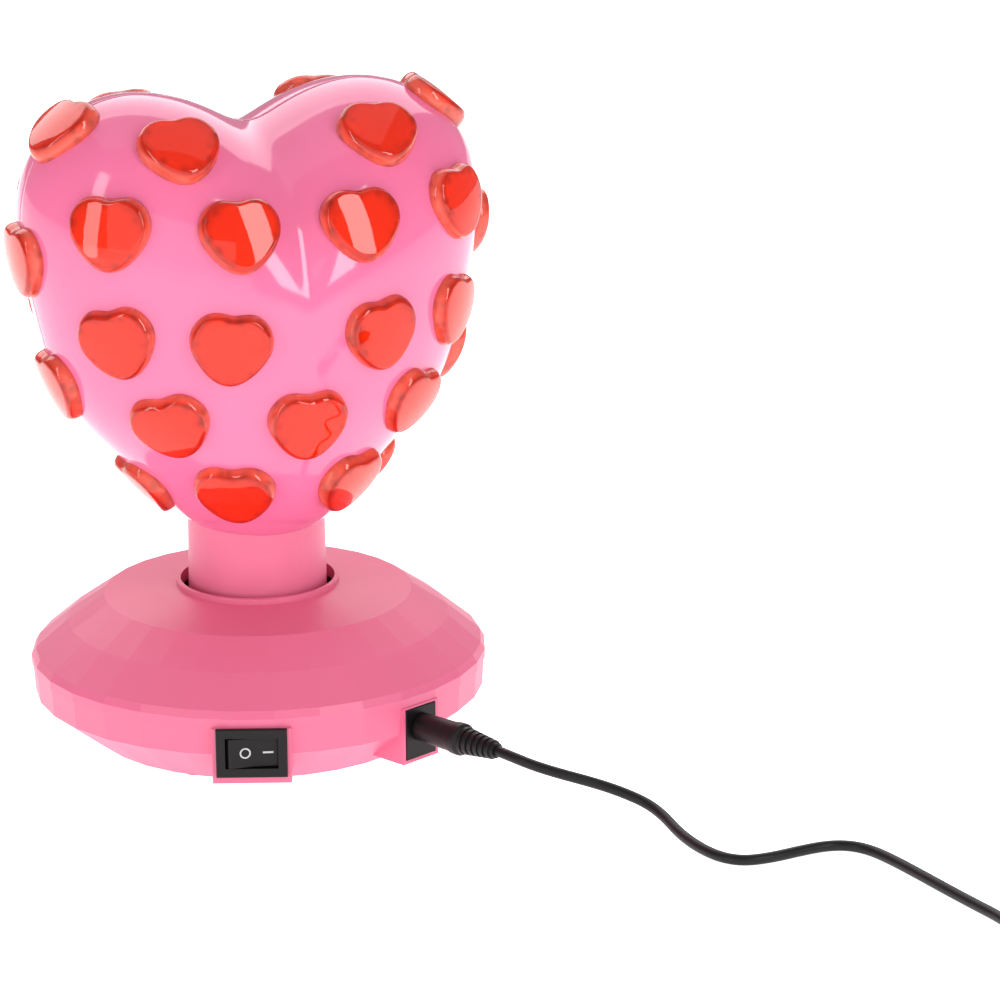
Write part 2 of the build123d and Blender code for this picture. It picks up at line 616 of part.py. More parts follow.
def rocker():
    """The paddle, leaning so that its right half is pressed in."""
    low = SWITCH_CENTRE - ROCKER_TALL / 2 + 0.15
    high = SWITCH_CENTRE + ROCKER_TALL / 2 - 0.15
    paddle = rod(ROCKER_ARC, low, high)
    ridge = ROCKER_PIVOT_DEPTH - 1.0
    valley = 4.0
    keep = Polyline((-2.2, -9), (ridge + 9 * math.tan(math.radians(valley)), -9), (ridge, 0),
                    (ridge + 9 * math.tan(math.radians(valley)), 9), (-2.2, 9), close=True)
    paddle &= extrude(Plane.XY.offset(low) * make_face(keep), high - low)
    paddle += rod(ROCKER_PIN, SWITCH_CENTRE - ROCKER_PIN_REACH + 0.1, SWITCH_CENTRE + ROCKER_PIN_REACH - 0.1)
    return at_bearing(0, 0) * Pos(BEZEL_FACE - ROCKER_PIVOT_DEPTH, 0) * Rot(0, 0, ROCKER_REST) * paddle


def switch_terminals():
    back = BEZEL_FACE - SWITCH_DEPTH
    return [
        at_bearing(0, 0) * block((back - TAB_LENGTH, back), (y - TAB / 2, y + TAB / 2),
                                 (SWITCH_CENTRE - TAB_WIDTH / 2, SWITCH_CENTRE + TAB_WIDTH / 2))
        for y in (-4.5, 4.5)
    ]


# ---- power jack and plug ----------------------------------------------------
def jack_body():
    plate = block((JACK_FACE - 3.0, JACK_FACE - 0.4), (-JACK_WIDTH / 2, JACK_WIDTH / 2),
                  (JACK_CENTRE - JACK_TALL / 2, JACK_CENTRE + JACK_TALL / 2))
    body = block((JACK_FACE - JACK_DEPTH, JACK_FACE - 3.0), (-JACK_WIDTH / 2 + 0.7, JACK_WIDTH / 2 - 0.7),
                 (JACK_AXIS - JACK_BODY_TALL / 2, JACK_AXIS + JACK_BODY_TALL / 2))
    bore = Pos(0, 0, JACK_AXIS) * radial_rod(BARREL_RADIUS + 0.1, JACK_FACE - BARREL_LENGTH - 1.2, JACK_FACE)
    return at_bearing(JACK_BEARING, 0) * (plate + body - bore)


def jack_pin():
    foot = JACK_FACE - BARREL_LENGTH - 1.2
    pin = radial_rod(1.0, foot, JACK_FACE - 2.5)
    return at_bearing(JACK_BEARING, 0, JACK_AXIS) * pin


def jack_terminals():
    back = JACK_FACE - JACK_DEPTH
    tab = block((back - 4.0, back), (-1.5, 1.5), (-JACK_TAB / 2, JACK_TAB / 2))
    return [at_bearing(JACK_BEARING, 0, z) * tab for z in (JACK_AXIS - 4.5, JACK_AXIS + 1.0)]


PLUG_GRIP = ((0.0, 4.3), (12.5, 4.5), (15.0, 4.9), (17.0, 4.9), (17.8, 4.3))    # distance from the jack, radius


def plug_profile():
    """The grip, then ribs that get smaller towards the lead."""
    points = list(PLUG_GRIP)
    for k in range(PLUG_RIBS):
        start = PLUG_GRIP[-1][0] + k * PLUG_RIB_PITCH
        crest = PLUG_RIB_RADIUS - k * PLUG_RIB_STEP
        land = start + 0.65 * PLUG_RIB_PITCH
        points += [(start, crest), (land, crest - 0.1), (land, crest - PLUG_GROOVE)]
        points.append((start + PLUG_RIB_PITCH, crest - PLUG_GROOVE))
    return points + [(PLUG_LENGTH, CORD_RADIUS + 0.7)]


def dc_plug():
    points = [(JACK_FACE + s, r) for s, r in plug_profile()]
    outline = Polyline((points[0][0], 0), *points, (points[-1][0], 0), close=True)
    body = revolve(Plane.XY * make_face(outline), Axis.X)
    return at_bearing(JACK_BEARING, 0, JACK_AXIS) * body


def dc_plug_barrel():
    shape = radial_rod(BARREL_RADIUS, JACK_FACE - BARREL_LENGTH, JACK_FACE)
    shape -= radial_rod(BARREL_BORE, JACK_FACE - BARREL_LENGTH, JACK_FACE - 1.0)
    return at_bearing(JACK_BEARING, 0, JACK_AXIS) * shape


# ---- inner wires ------------------------------------------------------------
def swept(points, radius, radii):
    path = FilletPolyline(*points, radius=radii)
    return sweep(Plane(origin=path @ 0, z_dir=path % 0) * Circle(radius), path=path)


def bend_radii(points, least):
    """The largest arc at each corner that its two runs allow."""
    found = []
    for before, here, after in zip(points, points[1:], points[2:]):
        a = Vector(*here) - Vector(*before)
        b = Vector(*after) - Vector(*here)
        turn = math.radians(a.get_angle(b))
        found.append(max(least, 0.45 * min(a.length, b.length) / math.tan(turn / 2)))
    return found


def wire(points):
    return swept(points, LEAD_RADIUS, [min(r, 12.0) for r in bend_radii(points, 0.5)])


def switch_leads():
    """Jack to switch, lying on the floor of the pan between them."""
    jack = Vector(*(at_bearing(JACK_BEARING, JACK_FACE - JACK_DEPTH - 4.0 - LEAD_RADIUS, 0).position))
    end = BEZEL_FACE - SWITCH_DEPTH - TAB_LENGTH - LEAD_RADIUS
    return [
        wire([(jack.X, jack.Y, JACK_AXIS - 4.5), (jack.X - 5, jack.Y + 5, 9.0), (30.0, -24.0, WIRE_LEVEL),
              (18.0, -29.0, WIRE_LEVEL), (8.0, -38.0, 9.0), (4.5, -end, SWITCH_CENTRE)]),
    ]


def motor_leads():
    """Switch to motor, round the tower on the floor of the pan."""
    end = BEZEL_FACE - SWITCH_DEPTH - TAB_LENGTH - LEAD_RADIUS
    reach = MOTOR_RADIUS + LEAD_RADIUS
    side = (-reach * math.cos(math.radians(40)), GEAR_CENTRES - reach * math.sin(math.radians(40)), 12.0)
    return [
        wire([(-4.5, -end, SWITCH_CENTRE), (-9.0, -38.0, 9.0), (-20.0, -24.0, WIRE_LEVEL),
              (-25.0, -4.0, WIRE_LEVEL), (-23.0, 9.0, WIRE_LEVEL), (-18.0, side[1] - 6.0, 8.0), side]),
    ]


# ---- power lead and adapter ---------------------------------------------------
CORD_START = at_bearing(JACK_BEARING, JACK_FACE + PLUG_LENGTH, JACK_AXIS).position
CORD_ROUTE = [
    (CORD_START.X, CORD_START.Y, CORD_START.Z), (76.9, -77.2, 15.5), (82.0, -80.6, 14.4),
    (88.6, -82.6, 12.8), (95.6, -82.9, 10.8), (102.4, -83.2, 8.8), (109.2, -85.0, 6.8),
    (115.6, -88.6, 4.9), (119.9, -95.0, 3.4), (123.4, -104.8, 2.2), (127.6, -113.6, 1.7),
    (132.2, -120.8, 1.6), (136.8, -124.8, 1.6), (142.0, -125.9, 1.6), (149.6, -123.2, 1.6),
    (157.6, -118.6, 1.6), (165.2, -115.2, 1.6), (171.4, -115.2, 1.6), (177.0, -118.8, 1.6),
    (182.4, -126.6, 1.6), (188.8, -138.0, 1.6), (195.4, -150.2, 1.6), (201.4, -160.8, 1.6),
    (206.4, -169.6, 1.7), (210.0, -178.8, 1.9), (211.6, -190.0, 2.2),
    (COIL_CENTRE[0] - COIL_RADIUS - COIL_STEP, COIL_CENTRE[1], 2.2),
]
TAIL_LEVEL = COIL_BOTTOM + 2.5 * COIL_STEP
TAIL_ROUTE = [
    (COIL_CENTRE[0] + 4.0, ADAPTER_EXIT[1], TAIL_LEVEL),
    (COIL_CENTRE[0] + 13.0, ADAPTER_EXIT[1] - 0.6, TAIL_LEVEL - 0.3),
    (COIL_CENTRE[0] + 23.0, ADAPTER_EXIT[1] - 1.0, TAIL_LEVEL + 0.8),
    (COIL_CENTRE[0] + 33.0, ADAPTER_EXIT[1] - 0.5, 11.6),
    (ADAPTER_EXIT[0] - ADAPTER_RELIEF, ADAPTER_EXIT[1], ADAPTER_EXIT[2]),
]


def cord_tube(points, name):
    radii = bend_radii(points, 3 * CORD_RADIUS)
    shape = swept(points, CORD_RADIUS, radii)
    path = FilletPolyline(*points, radius=radii)
    print(name, "radii", [round(r, 1) for r in radii])
    print(name, "length", round(path.length, 1), "volume/section*length",
          round(shape.volume / (math.pi * CORD_RADIUS**2 * path.length), 5))
    return shape


def cord_coil():
    ring = Pos(*COIL_CENTRE) * tube(COIL_OUTER, COIL_INNER, COIL_BOTTOM, COIL_TOP)
    return fillet(ring.edges(), 1.2)


def coil_tie():
    """A strap once round the bundle of turns."""
    radial = (COIL_INNER - TIE - 0.4, COIL_OUTER + TIE)
    outer = block(radial, (-TIE_WIDTH / 2, TIE_WIDTH / 2), (0, COIL_TOP + TIE))
    strap = Pos(*COIL_CENTRE) * at_bearing(TIE_BEARING, 0) * fillet(outer.edges().filter_by(Axis.Y), 0.5)
    bundle = Pos(*COIL_CENTRE) * tube(COIL_OUTER, COIL_INNER, COIL_BOTTOM, COIL_TOP)
    return strap - bundle


def adapter_place():
    return Pos(ADAPTER_EXIT[0], ADAPTER_EXIT[1], 0)


def adapter_case():
    length, width, height = ADAPTER
    case = block((0, length), (-width / 2, width / 2), (0, height - CASE_LID))
    case = fillet(case.edges().filter_by(Axis.Z), 5.0)
    case = fillet(case.edges().group_by(Axis.Z)[0], 1.5)
    side = width / 2 - CASE_WALL
    case -= block((CASE_WALL, length - CASE_WALL), (-side, side), (CASE_WALL, height))
    case -= Pos(0, 0, ADAPTER_EXIT[2]) * radial_rod(CORD_RADIUS + 0.9, -1, CASE_WALL + 1)
    return adapter_place() * case


def adapter_lid():
    length, width, height = ADAPTER
    lid = block((0, length), (-width / 2, width / 2), (height - CASE_LID, height))
    lid = fillet(lid.edges().filter_by(Axis.Z), 5.0)
    lid = fillet(lid.edges().group_by(Axis.Z)[-1], 1.5)
    side = width / 2 - CASE_WALL
    lid -= block((CASE_WALL, length - CASE_WALL), (-side, side), (0, height - CASE_WALL))
    for side in (-1, 1):
        lid -= Pos(length / 2, side * PIN_SPACING / 2) * rod(PIN_ROOT_RADIUS, 0, height + 1)
    return adapter_place() * lid


def adapter_pins():
    pin = rod(PIN_RADIUS, ADAPTER[2], ADAPTER[2] + PIN_LENGTH)
    pin = fillet(pin.edges().group_by(Axis.Z)[-1], 1.2)
    pin += rod(PIN_ROOT_RADIUS, ADAPTER[2] - PIN_ROOT, ADAPTER[2])
    return [adapter_place() * Pos(ADAPTER[0] / 2, side * PIN_SPACING / 2) * pin for side in (-1, 1)]


def adapter_transformer():
    low = CASE_WALL
    core = block((14.0, 48.0), (-15.0, 15.0), (low, low + 15.5))
    return adapter_place() * core


def adapter_relief():
    sleeve = CORD_RADIUS + 0.9
    profile = Polyline((-ADAPTER_RELIEF, 0), (-ADAPTER_RELIEF, CORD_RADIUS + 0.5), (0.0, sleeve + 1.0),
                       (0.0, sleeve), (CASE_WALL + 1.0, sleeve), (CASE_WALL + 1.0, 0), close=True)
    body = revolve(Plane.XY * make_face(profile), Axis.X)
    return Pos(*ADAPTER_EXIT) * body


# ---- the whole model ----------------------------------------------------------
def assembly():
    """Node name to the list of its separate solids."""
    pieces = {
        "lower_shell": [lower_shell()],
        "upper_shell": [upper_shell()],
        "rubber_feet": rubber_feet(),
        "case_screws": case_screws(),
        "centre_tower": [centre_tower()],
        "tower_screws": tower_screws(),
        "thrust_washer": [thrust_washer()],
        "gear_motor": [gear_motor()],
        "motor_screws": motor_screws(),
        "motor_shaft": [motor_shaft()],
        "drive_pinion": [drive_pinion()],
        "turntable_gear": [turntable_gear()],
        "neck_tube": [neck_tube()],
        "neck_screws": neck_screws(),
        "lamp_post": [lamp_post()],
        "led_heat_sink": [led_heat_sink()],
        "led_board": [led_board()],
        "led_lamps": led_lamps(),
        "lamp_leads": lamp_leads(),
        "switch_body": [switch_body()],
        "rocker": [rocker()],
        "switch_terminals": switch_terminals(),
        "jack_body": [jack_body()],
        "jack_pin": [jack_pin()],
        "jack_terminals": jack_terminals(),
        "switch_lead": switch_leads(),
        "motor_lead": motor_leads(),
        "dc_plug": [dc_plug()],
        "dc_plug_barrel": [dc_plug_barrel()],
        "cord_run": [cord_tube(CORD_ROUTE, "cord_run")],
        "cord_coil": [cord_coil()],
        "cord_tail": [cord_tube(TAIL_ROUTE, "cord_tail")],
        "coil_tie": [coil_tie()],
        "adapter_case": [adapter_case()],
        "adapter_lid": [adapter_lid()],
        "adapter_pins": adapter_pins(),
        "adapter_transformer": [adapter_transformer()],
        "adapter_relief": [adapter_relief()],
    }
    for name, shapes in heart_shells_and_lenses().items():
        pieces[name] = turned(shapes)
    return pieces


os.makedirs("parts", exist_ok=True)
for node, shapes in assembly().items():
    solids = [solid for shape in shapes for solid in shape.solids()]
    export_step(Compound(children=solids) if len(solids) > 1 else solids[0], f"parts/{node}.step")
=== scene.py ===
"""A turning heart lamp: a gloss pink heart set with red lenses, on a faceted base with its power lead."""
import json
import math

import bmesh
import bpy
from mathutils import Matrix, Vector


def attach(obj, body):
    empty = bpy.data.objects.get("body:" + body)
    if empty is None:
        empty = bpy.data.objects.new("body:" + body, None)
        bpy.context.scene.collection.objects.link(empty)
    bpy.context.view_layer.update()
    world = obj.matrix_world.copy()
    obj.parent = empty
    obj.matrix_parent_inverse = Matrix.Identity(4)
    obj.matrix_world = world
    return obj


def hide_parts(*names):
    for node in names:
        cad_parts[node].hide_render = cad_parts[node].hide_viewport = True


bl_info = {
    "name": "Turning heart lamp",
    "version": (1, 0, 0),
    "blender": (4, 5, 0),
    "location": "View3D > Sidebar > Heart lamp",
    "description": "Builds a table lamp with a turning heart-shaped head around its construction model",
    "category": "Add Mesh",
}

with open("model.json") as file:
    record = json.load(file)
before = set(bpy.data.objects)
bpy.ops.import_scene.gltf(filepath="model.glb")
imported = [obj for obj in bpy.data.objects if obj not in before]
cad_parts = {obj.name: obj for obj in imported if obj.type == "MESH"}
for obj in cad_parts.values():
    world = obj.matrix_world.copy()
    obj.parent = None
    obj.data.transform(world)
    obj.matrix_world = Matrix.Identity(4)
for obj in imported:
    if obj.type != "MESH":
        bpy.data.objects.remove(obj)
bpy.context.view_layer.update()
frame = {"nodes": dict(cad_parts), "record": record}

MM = 0.001
AXIS_HEIGHT = Vector((0, 0, 0.1369))     # centre that the heart's outline is drawn from
LENS_ROWS = {                            # lean from the middle of the front, bearing from straight up, roll
    "top": ((55, -30.5, 4), (55, 30.5, -4)),
    "upper": ((51, -60.5, 0), (27.5, -32.5, 0), (27.5, 32.5, 0), (51, 60.5, 0)),
    "middle": ((52, -92.5, 12), (21, -98, -6), (21, 98, 6), (52, 92.5, -12)),
    "lower": ((48, -127, 14), (22, 180, 0), (48, 127, -14)),
    "bottom": ((50.5, -161, 0), (50.5, 161, 0)),
}
SIDE_LENSES = ((87, 46.5, -8), (89, 76, 0), (88, 109, -4), (88, 147, 0))
HEART_OUTLINE = (                        # bearing from straight up, radius in mm, cleft to foot
    (0, 53.5), (12, 59.7), (30, 73.9), (55, 81.2),
    (85, 68.5), (115, 64.3), (145, 64.3), (180, 76.6),
)
LENS_OUTLINE = (                         # the same for one lens: notch, lobe, side, foot
    (0, 10.0), (30, 12.1), (55, 12.9), (78, 12.6),
    (115, 10.9), (150, 10.9), (180, 11.5),
)
CORD_ROUTE = (                           # millimetres, from the plug's tail to the coil
    (72.12, -72.12, 15.8), (76.9, -77.2, 15.5), (82.0, -80.6, 14.4),
    (88.6, -82.6, 12.8), (95.6, -82.9, 10.8), (102.4, -83.2, 8.8), (109.2, -85.0, 6.8),
    (115.6, -88.6, 4.9), (119.9, -95.0, 3.4), (123.4, -104.8, 2.2), (127.6, -113.6, 1.7),
    (132.2, -120.8, 1.6), (136.8, -124.8, 1.6), (142.0, -125.9, 1.6), (149.6, -123.2, 1.6),
    (157.6, -118.6, 1.6), (165.2, -115.2, 1.6), (171.4, -115.2, 1.6), (177.0, -118.8, 1.6),
    (182.4, -126.6, 1.6), (188.8, -138.0, 1.6), (195.4, -150.2, 1.6), (201.4, -160.8, 1.6),
    (206.4, -169.6, 1.7), (210.0, -178.8, 1.9), (211.6, -190.0, 2.2),
)
TAIL_ROUTE = (                           # from the coil through the strain relief into the adapter
    (236.0, -222.8, 8.6), (245.0, -223.4, 8.3), (255.0, -223.8, 9.4),
    (265.0, -223.3, 11.6), (276.0, -222.8, 13.0),
    (287.0, -222.8, 13.0), (298.0, -222.8, 13.0), (304.0, -222.8, 13.0),
)
COIL_CELLS = (                           # turn by turn: ring from the inside, layer from the floor
    (2, 0), (1, 0), (0, 0), (0, 1), (0, 2), (1, 2), (1, 1), (2, 1), (2, 2),
)


# ---- settings ------------------------------------------------------------------
class HeartLampSizes(bpy.types.PropertyGroup):
    heart_depth: bpy.props.FloatProperty(
        name="Heart depth", description="Centre plane of the heart to its fullest point",
        default=51.5 * MM, unit="LENGTH")
    head_turn: bpy.props.FloatProperty(
        name="Head turn", description="How far the head is turned about its axis at rest",
        default=math.radians(21.6), subtype="ANGLE")
    shell: bpy.props.FloatProperty(
        name="Shell thickness", description="Moulded wall of the heart",
        default=2.2 * MM, unit="LENGTH")
    seam: bpy.props.FloatProperty(
        name="Seam", description="Gap that shows between the two halves of the heart",
        default=0.16 * MM, unit="LENGTH")
    lens_proud: bpy.props.FloatProperty(
        name="Lens height", description="How far a lens stands out of the shell",
        default=3.8 * MM, unit="LENGTH")
    cord: bpy.props.FloatProperty(
        name="Cord", description="Diameter of the power lead", default=3.2 * MM, unit="LENGTH")
    coil: bpy.props.FloatProperty(
        name="Coil", description="Radius of the middle turn of the stored lead",
        default=17.6 * MM, unit="LENGTH")
    softening: bpy.props.FloatProperty(
        name="Edge softening", description="Rounding of the moulded edges", default=0.55 * MM, unit="LENGTH")


def linear(code):
    """A linear colour from an sRGB hex code."""
    parts = [int(code[i:i + 2], 16) / 255 for i in (1, 3, 5)]
    return [p / 12.92 if p <= 0.04045 else ((p + 0.055) / 1.055) ** 2.4 for p in parts]


def colour(label, text, code):
    return bpy.props.FloatVectorProperty(
        name=label, description=text, subtype="COLOR", min=0, max=1, size=3, default=linear(code))


class HeartLampColours(bpy.types.PropertyGroup):
    heart: colour("Heart", "Gloss shell of the head", "#E7709A")
    base: colour("Base", "Satin shells of the base", "#E0688B")
    lens: colour("Lens", "Coloured acrylic of the lenses", "#F62C06")
    black: colour("Black parts", "Switch, jack, plug and lead", "#0D0A0D")
    marks: colour("Marks", "Print on the rocker", "#BFBFC4")


# ---- helpers --------------------------------------------------------------------
def add_node(tree, kind, inputs=None, **settings):
    """Adds a node, sets its settings, and fills each input with a value or links it to a socket."""
    node = tree.nodes.new(kind)
    for name, value in settings.items():
        setattr(node, name, value)
    for name, value in (inputs or {}).items():
        if isinstance(value, bpy.types.NodeSocket):
            tree.links.new(value, node.inputs[name])
        else:
            node.inputs[name].default_value = value
    return node


def smooth_radius(points):
    """A smooth closed outline through (bearing, radius) points given for one side."""
    angles = [-a for a, _ in reversed(points[1:])] + [a for a, _ in points]
    values = [r for _, r in reversed(points[1:])] + [r for _, r in points]
    count = len(angles) - 1
    steps = [angles[i + 1] - angles[i] for i in range(count)]
    rises = [(values[i + 1] - values[i]) / steps[i] for i in range(count)]
    slopes = [0.0] * (count + 1)
    for _ in range(200):
        for i in range(count):
            before, after = steps[i - 1], steps[i]
            pull = 3 * (rises[i - 1] * after + rises[i] * before)
            others = after * slopes[i - 1 if i else count - 1] + before * slopes[(i + 1) % count]
            slopes[i] = (pull - others) / (2 * (before + after))
        slopes[count] = slopes[0]

    def radius(bearing):
        bearing = (bearing + 180) % 360 - 180
        i = max(k for k in range(count) if angles[k] <= bearing)
        u = (bearing - angles[i]) / steps[i]
        start = (2 * u**3 - 3 * u**2 + 1) * values[i] + (u**3 - 2 * u**2 + u) * steps[i] * slopes[i]
        end = (3 * u**2 - 2 * u**3) * values[i + 1] + (u**3 - u**2) * steps[i] * slopes[i + 1]
        return (start + end) * MM

    return radius


heart_radius = smooth_radius(HEART_OUTLINE)
lens_radius = smooth_radius(LENS_OUTLINE)


def sizes():
    return bpy.context.scene.heart_lamp_sizes


def colours():
    return bpy.context.scene.heart_lamp_colours


def heart_point(lean, bearing, depth):
    """A point of the heart facing the front: lean is 0 at its middle and 90 on the outline."""
    out = heart_radius(bearing) * math.sin(math.radians(lean))
    b = math.radians(bearing)
    return AXIS_HEIGHT + Vector((out * math.sin(b), -depth * math.cos(math.radians(lean)), out * math.cos(b)))


def finish_mesh(bm, name, material, body, replaces=(), smooth=True):
    """Turns a bmesh into a piece that rides on a body."""
    mesh = bpy.data.meshes.new(name)
    bm.to_mesh(mesh)
    bm.free()
    return finish_piece(mesh, name, material, body, replaces, smooth)


def finish_piece(mesh, name, material, body, replaces=(), smooth=True):
    piece = bpy.data.objects.new(name, mesh)
    bpy.context.scene.collection.objects.link(piece)
    if material is not None:
        mesh.materials.clear()
        mesh.materials.append(material)
    mesh.polygons.foreach_set("use_smooth", [smooth] * len(mesh.polygons))
    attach(piece, body)
    if replaces:
        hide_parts(*replaces)
    return piece


def softened_copy(node, name, material, body, width, facets_from=None):
    """A CAD node's own shape with its moulded edges rounded. Past facets_from every flat side stays flat."""
    bm = bmesh.new()
    bm.from_mesh(frame["nodes"][node].data)
    bmesh.ops.remove_doubles(bm, verts=bm.verts, dist=1e-6)
    bmesh.ops.dissolve_limit(bm, angle_limit=math.radians(0.5), verts=bm.verts, edges=bm.edges)
    weight = bm.edges.layers.float.new("bevel_weight_edge")
    for edge in bm.edges:
        if not edge.is_manifold:
            continue
        middle = (edge.verts[0].co + edge.verts[1].co) / 2
        faceted = facets_from is not None and middle.xy.length > facets_from
        bend = math.degrees(edge.calc_face_angle())
        edge.smooth = bend < (0.9 if faceted else 28)
        edge[weight] = 1.0 if bend > 28 else (0.35 if not edge.smooth else 0.0)
    piece = finish_mesh(bm, name, material, body, (node,), smooth=True)
    bevel = piece.modifiers.new("Moulded edges", "BEVEL")
    bevel.width = width
    bevel.segments = 2
    bevel.limit_method = "WEIGHT"
    flat = piece.modifiers.new("Level faces", "WEIGHTED_NORMAL")
    flat.keep_sharp = False
    return piece


# ---- materials ------------------------------------------------------------------
def new_material(name):
    material = bpy.data.materials.new(name)
    material.use_nodes = True
    tree = material.node_tree
    tree.nodes.clear()
    return material, tree


def close_material(material, tree, shader):
    add_node(tree, "ShaderNodeOutputMaterial", {"Surface": shader.outputs["BSDF"]})
    return material


def mottled(tree, place, base, scale, amount):
    """A colour that drifts a little over the surface, as pigment does in a moulding."""
    cloud = add_node(tree, "ShaderNodeTexNoise", {"Vector": place, "Scale": scale, "Detail": 3.0})
    darker = [c * (1 - amount) for c in base] + [1]
    ramp = add_node(tree, "ShaderNodeMix", {"Factor": cloud.outputs["Fac"]}, data_type="RGBA")
    ramp.inputs[6].default_value = darker
    ramp.inputs[7].default_value = list(base) + [1]
    return ramp.outputs[2]


def moulded(name, base, rough, grain_mm, depth_mm, drift=0.06, coat=0.0, ior=1.53):
    """An opaque moulding: pigment drift, a fine mould texture and a roughness that drifts over the surface."""
    material, tree = new_material(name)
    place = add_node(tree, "ShaderNodeTexCoord").outputs["Object"]
    grain = add_node(tree, "ShaderNodeTexNoise", {"Vector": place, "Scale": 1000 / grain_mm, "Detail": 2.0})
    bump = add_node(tree, "ShaderNodeBump", {
        "Height": grain.outputs["Fac"], "Distance": depth_mm * MM, "Strength": 1.0})
    wipe = add_node(tree, "ShaderNodeTexNoise", {"Vector": place, "Scale": 45.0, "Detail": 4.0})
    haze = add_node(tree, "ShaderNodeMapRange", {
        "Value": wipe.outputs["Fac"], "To Min": rough * 0.85, "To Max": rough * 1.15})
    shader = add_node(tree, "ShaderNodeBsdfPrincipled", {
        "Base Color": mottled(tree, place, base, 30.0, drift), "Roughness": haze.outputs["Result"],
        "Normal": bump.outputs["Normal"], "IOR": ior, "Coat Weight": coat, "Coat Roughness": 0.05})
    return close_material(material, tree, shader)


def moulded_gloss_abs():
    # ABS out of a polished mould: a deep even shine with the faintest waviness.
    material = moulded("moulded_gloss_abs", colours().heart, 0.09, 9.0, 0.012, drift=0.03)
    shader = next(n for n in material.node_tree.nodes if n.type == "BSDF_PRINCIPLED")
    shader.inputs["Subsurface Weight"].default_value = 0.12
    shader.inputs["Subsurface Radius"].default_value = (0.004, 0.0012, 0.0012)
    shader.inputs["Subsurface Scale"].default_value = 0.5
    return material


def moulded_satin_abs():
    # ABS out of a spark-eroded mould: a fine even texture that spreads each highlight.
    return moulded("moulded_satin_abs", colours().base, 0.42, 0.7, 0.012, drift=0.05)


def cast_acrylic():
    # Dyed acrylic: pale where it is thin at the skirt, a painted dark band of shade just inside the edge where
    # it turns to the face, and glassy all over.
    # The lens mesh says how far inwards each point is, from 0 at its outline to 1 at its middle.
    material, tree = new_material("cast_acrylic")
    place = add_node(tree, "ShaderNodeTexCoord").outputs["Object"]
    inwards = add_node(tree, "ShaderNodeAttribute", attribute_name="inwards").outputs["Fac"]
    bands_with_painted_shade = add_node(tree, "ShaderNodeValToRGB", {"Fac": inwards})
    base = Vector(colours().lens)
    pale = Vector(linear("#F26A55"))
    stops = bands_with_painted_shade.color_ramp.elements
    stops[0].color = (*pale, 1)
    # the darker stops at 0.08 and 0.15 are painted shade: a dark band where the rounded edge turns over to the
    # face
    for at, shade in ((0.03, base.lerp(pale, 0.5)), (0.08, base * 0.62), (0.15, base * 0.82), (0.28, base)):
        stops.new(at).color = (*shade, 1)
    stops.remove(stops[-1])              # the ramp's own white end
    # dark specks: the inner pins and ribs seen through the acrylic, and painted shade beside them
    cells = add_node(tree, "ShaderNodeTexVoronoi", {"Vector": place, "Scale": 260.0})
    specks_and_painted_shade = add_node(tree, "ShaderNodeMapRange", {
        "Value": cells.outputs["Distance"], "From Min": 0.05, "From Max": 0.5, "To Min": 0.7, "To Max": 1.08})
    cloud = add_node(tree, "ShaderNodeTexNoise", {"Vector": place, "Scale": 130.0, "Detail": 2.0})
    depth = add_node(tree, "ShaderNodeMapRange", {
        "Value": cloud.outputs["Fac"], "From Min": 0.3, "From Max": 0.7, "To Min": 0.75, "To Max": 1.1})
    marks = add_node(tree, "ShaderNodeMath", {0: specks_and_painted_shade.outputs["Result"], 1: depth.outputs["Result"]},
                     operation="MULTIPLY")
    # the dark specks (the inner pins seen through the acrylic, with painted shade beside them) keep to the rim,
    # and the middle of a face is clean
    clean = add_node(tree, "ShaderNodeMapRange", {"Value": inwards, "From Min": 0.22, "From Max": 0.42})
    shade = add_node(tree, "ShaderNodeMix", {"Factor": clean.outputs["Result"]})
    tree.links.new(marks.outputs["Value"], shade.inputs[2])
    shade.inputs[3].default_value = 1.0
    tint = add_node(tree, "ShaderNodeVectorMath", {
        0: bands_with_painted_shade.outputs["Color"], "Scale": shade.outputs["Result"]}, operation="SCALE")
    ripple = add_node(tree, "ShaderNodeTexNoise", {"Vector": place, "Scale": 160.0, "Detail": 1.0})
    bump = add_node(tree, "ShaderNodeBump", {
        "Height": ripple.outputs["Fac"], "Distance": 0.03 * MM, "Strength": 1.0})
    shader = add_node(tree, "ShaderNodeBsdfPrincipled", {
        "Base Color": tint.outputs["Vector"], "Roughness": 0.035, "IOR": 1.49,
        "Transmission Weight": 0.25, "Normal": bump.outputs["Normal"],
        "Subsurface Weight": 0.25, "Subsurface Scale": 0.6,
        "Subsurface Radius": (0.006, 0.0012, 0.0005)})
    return close_material(material, tree, shader)


def satin_black_nylon():
    # Glass-filled nylon of a small switch: near black with a soft dusty sheen.
    return moulded("satin_black_nylon", colours().black, 0.38, 0.5, 0.008, drift=0.15, ior=1.34)


def soft_black_pvc():
    # Soft PVC of a lead and its plug: a little grey, with a low waxy shine.
    return moulded("soft_black_pvc", colours().black, 0.45, 1.6, 0.02, drift=0.2, ior=1.36)


def pad_print():
    # Thin pad-printed ink, flat and slightly chalky.
    return moulded("pad_print", colours().marks, 0.6, 0.4, 0.004, drift=0.1)


def spark_textured_abs():
    # Adapter case: black ABS from a coarse spark-eroded mould.
    return moulded("spark_textured_abs", linear("#1B1B1D"), 0.55, 0.8, 0.035, drift=0.15)


def natural_nylon():
    # Unpigmented nylon gears: warm white and a little waxy.
    return moulded("natural_nylon", linear("#E4DFCF"), 0.4, 1.2, 0.01, drift=0.05)


def soft_rubber():
    return moulded("soft_rubber", linear("#161616"), 0.8, 0.9, 0.03, drift=0.25)


def solder_mask():
    return moulded("solder_mask", linear("#1F5A34"), 0.3, 2.0, 0.01, drift=0.2)


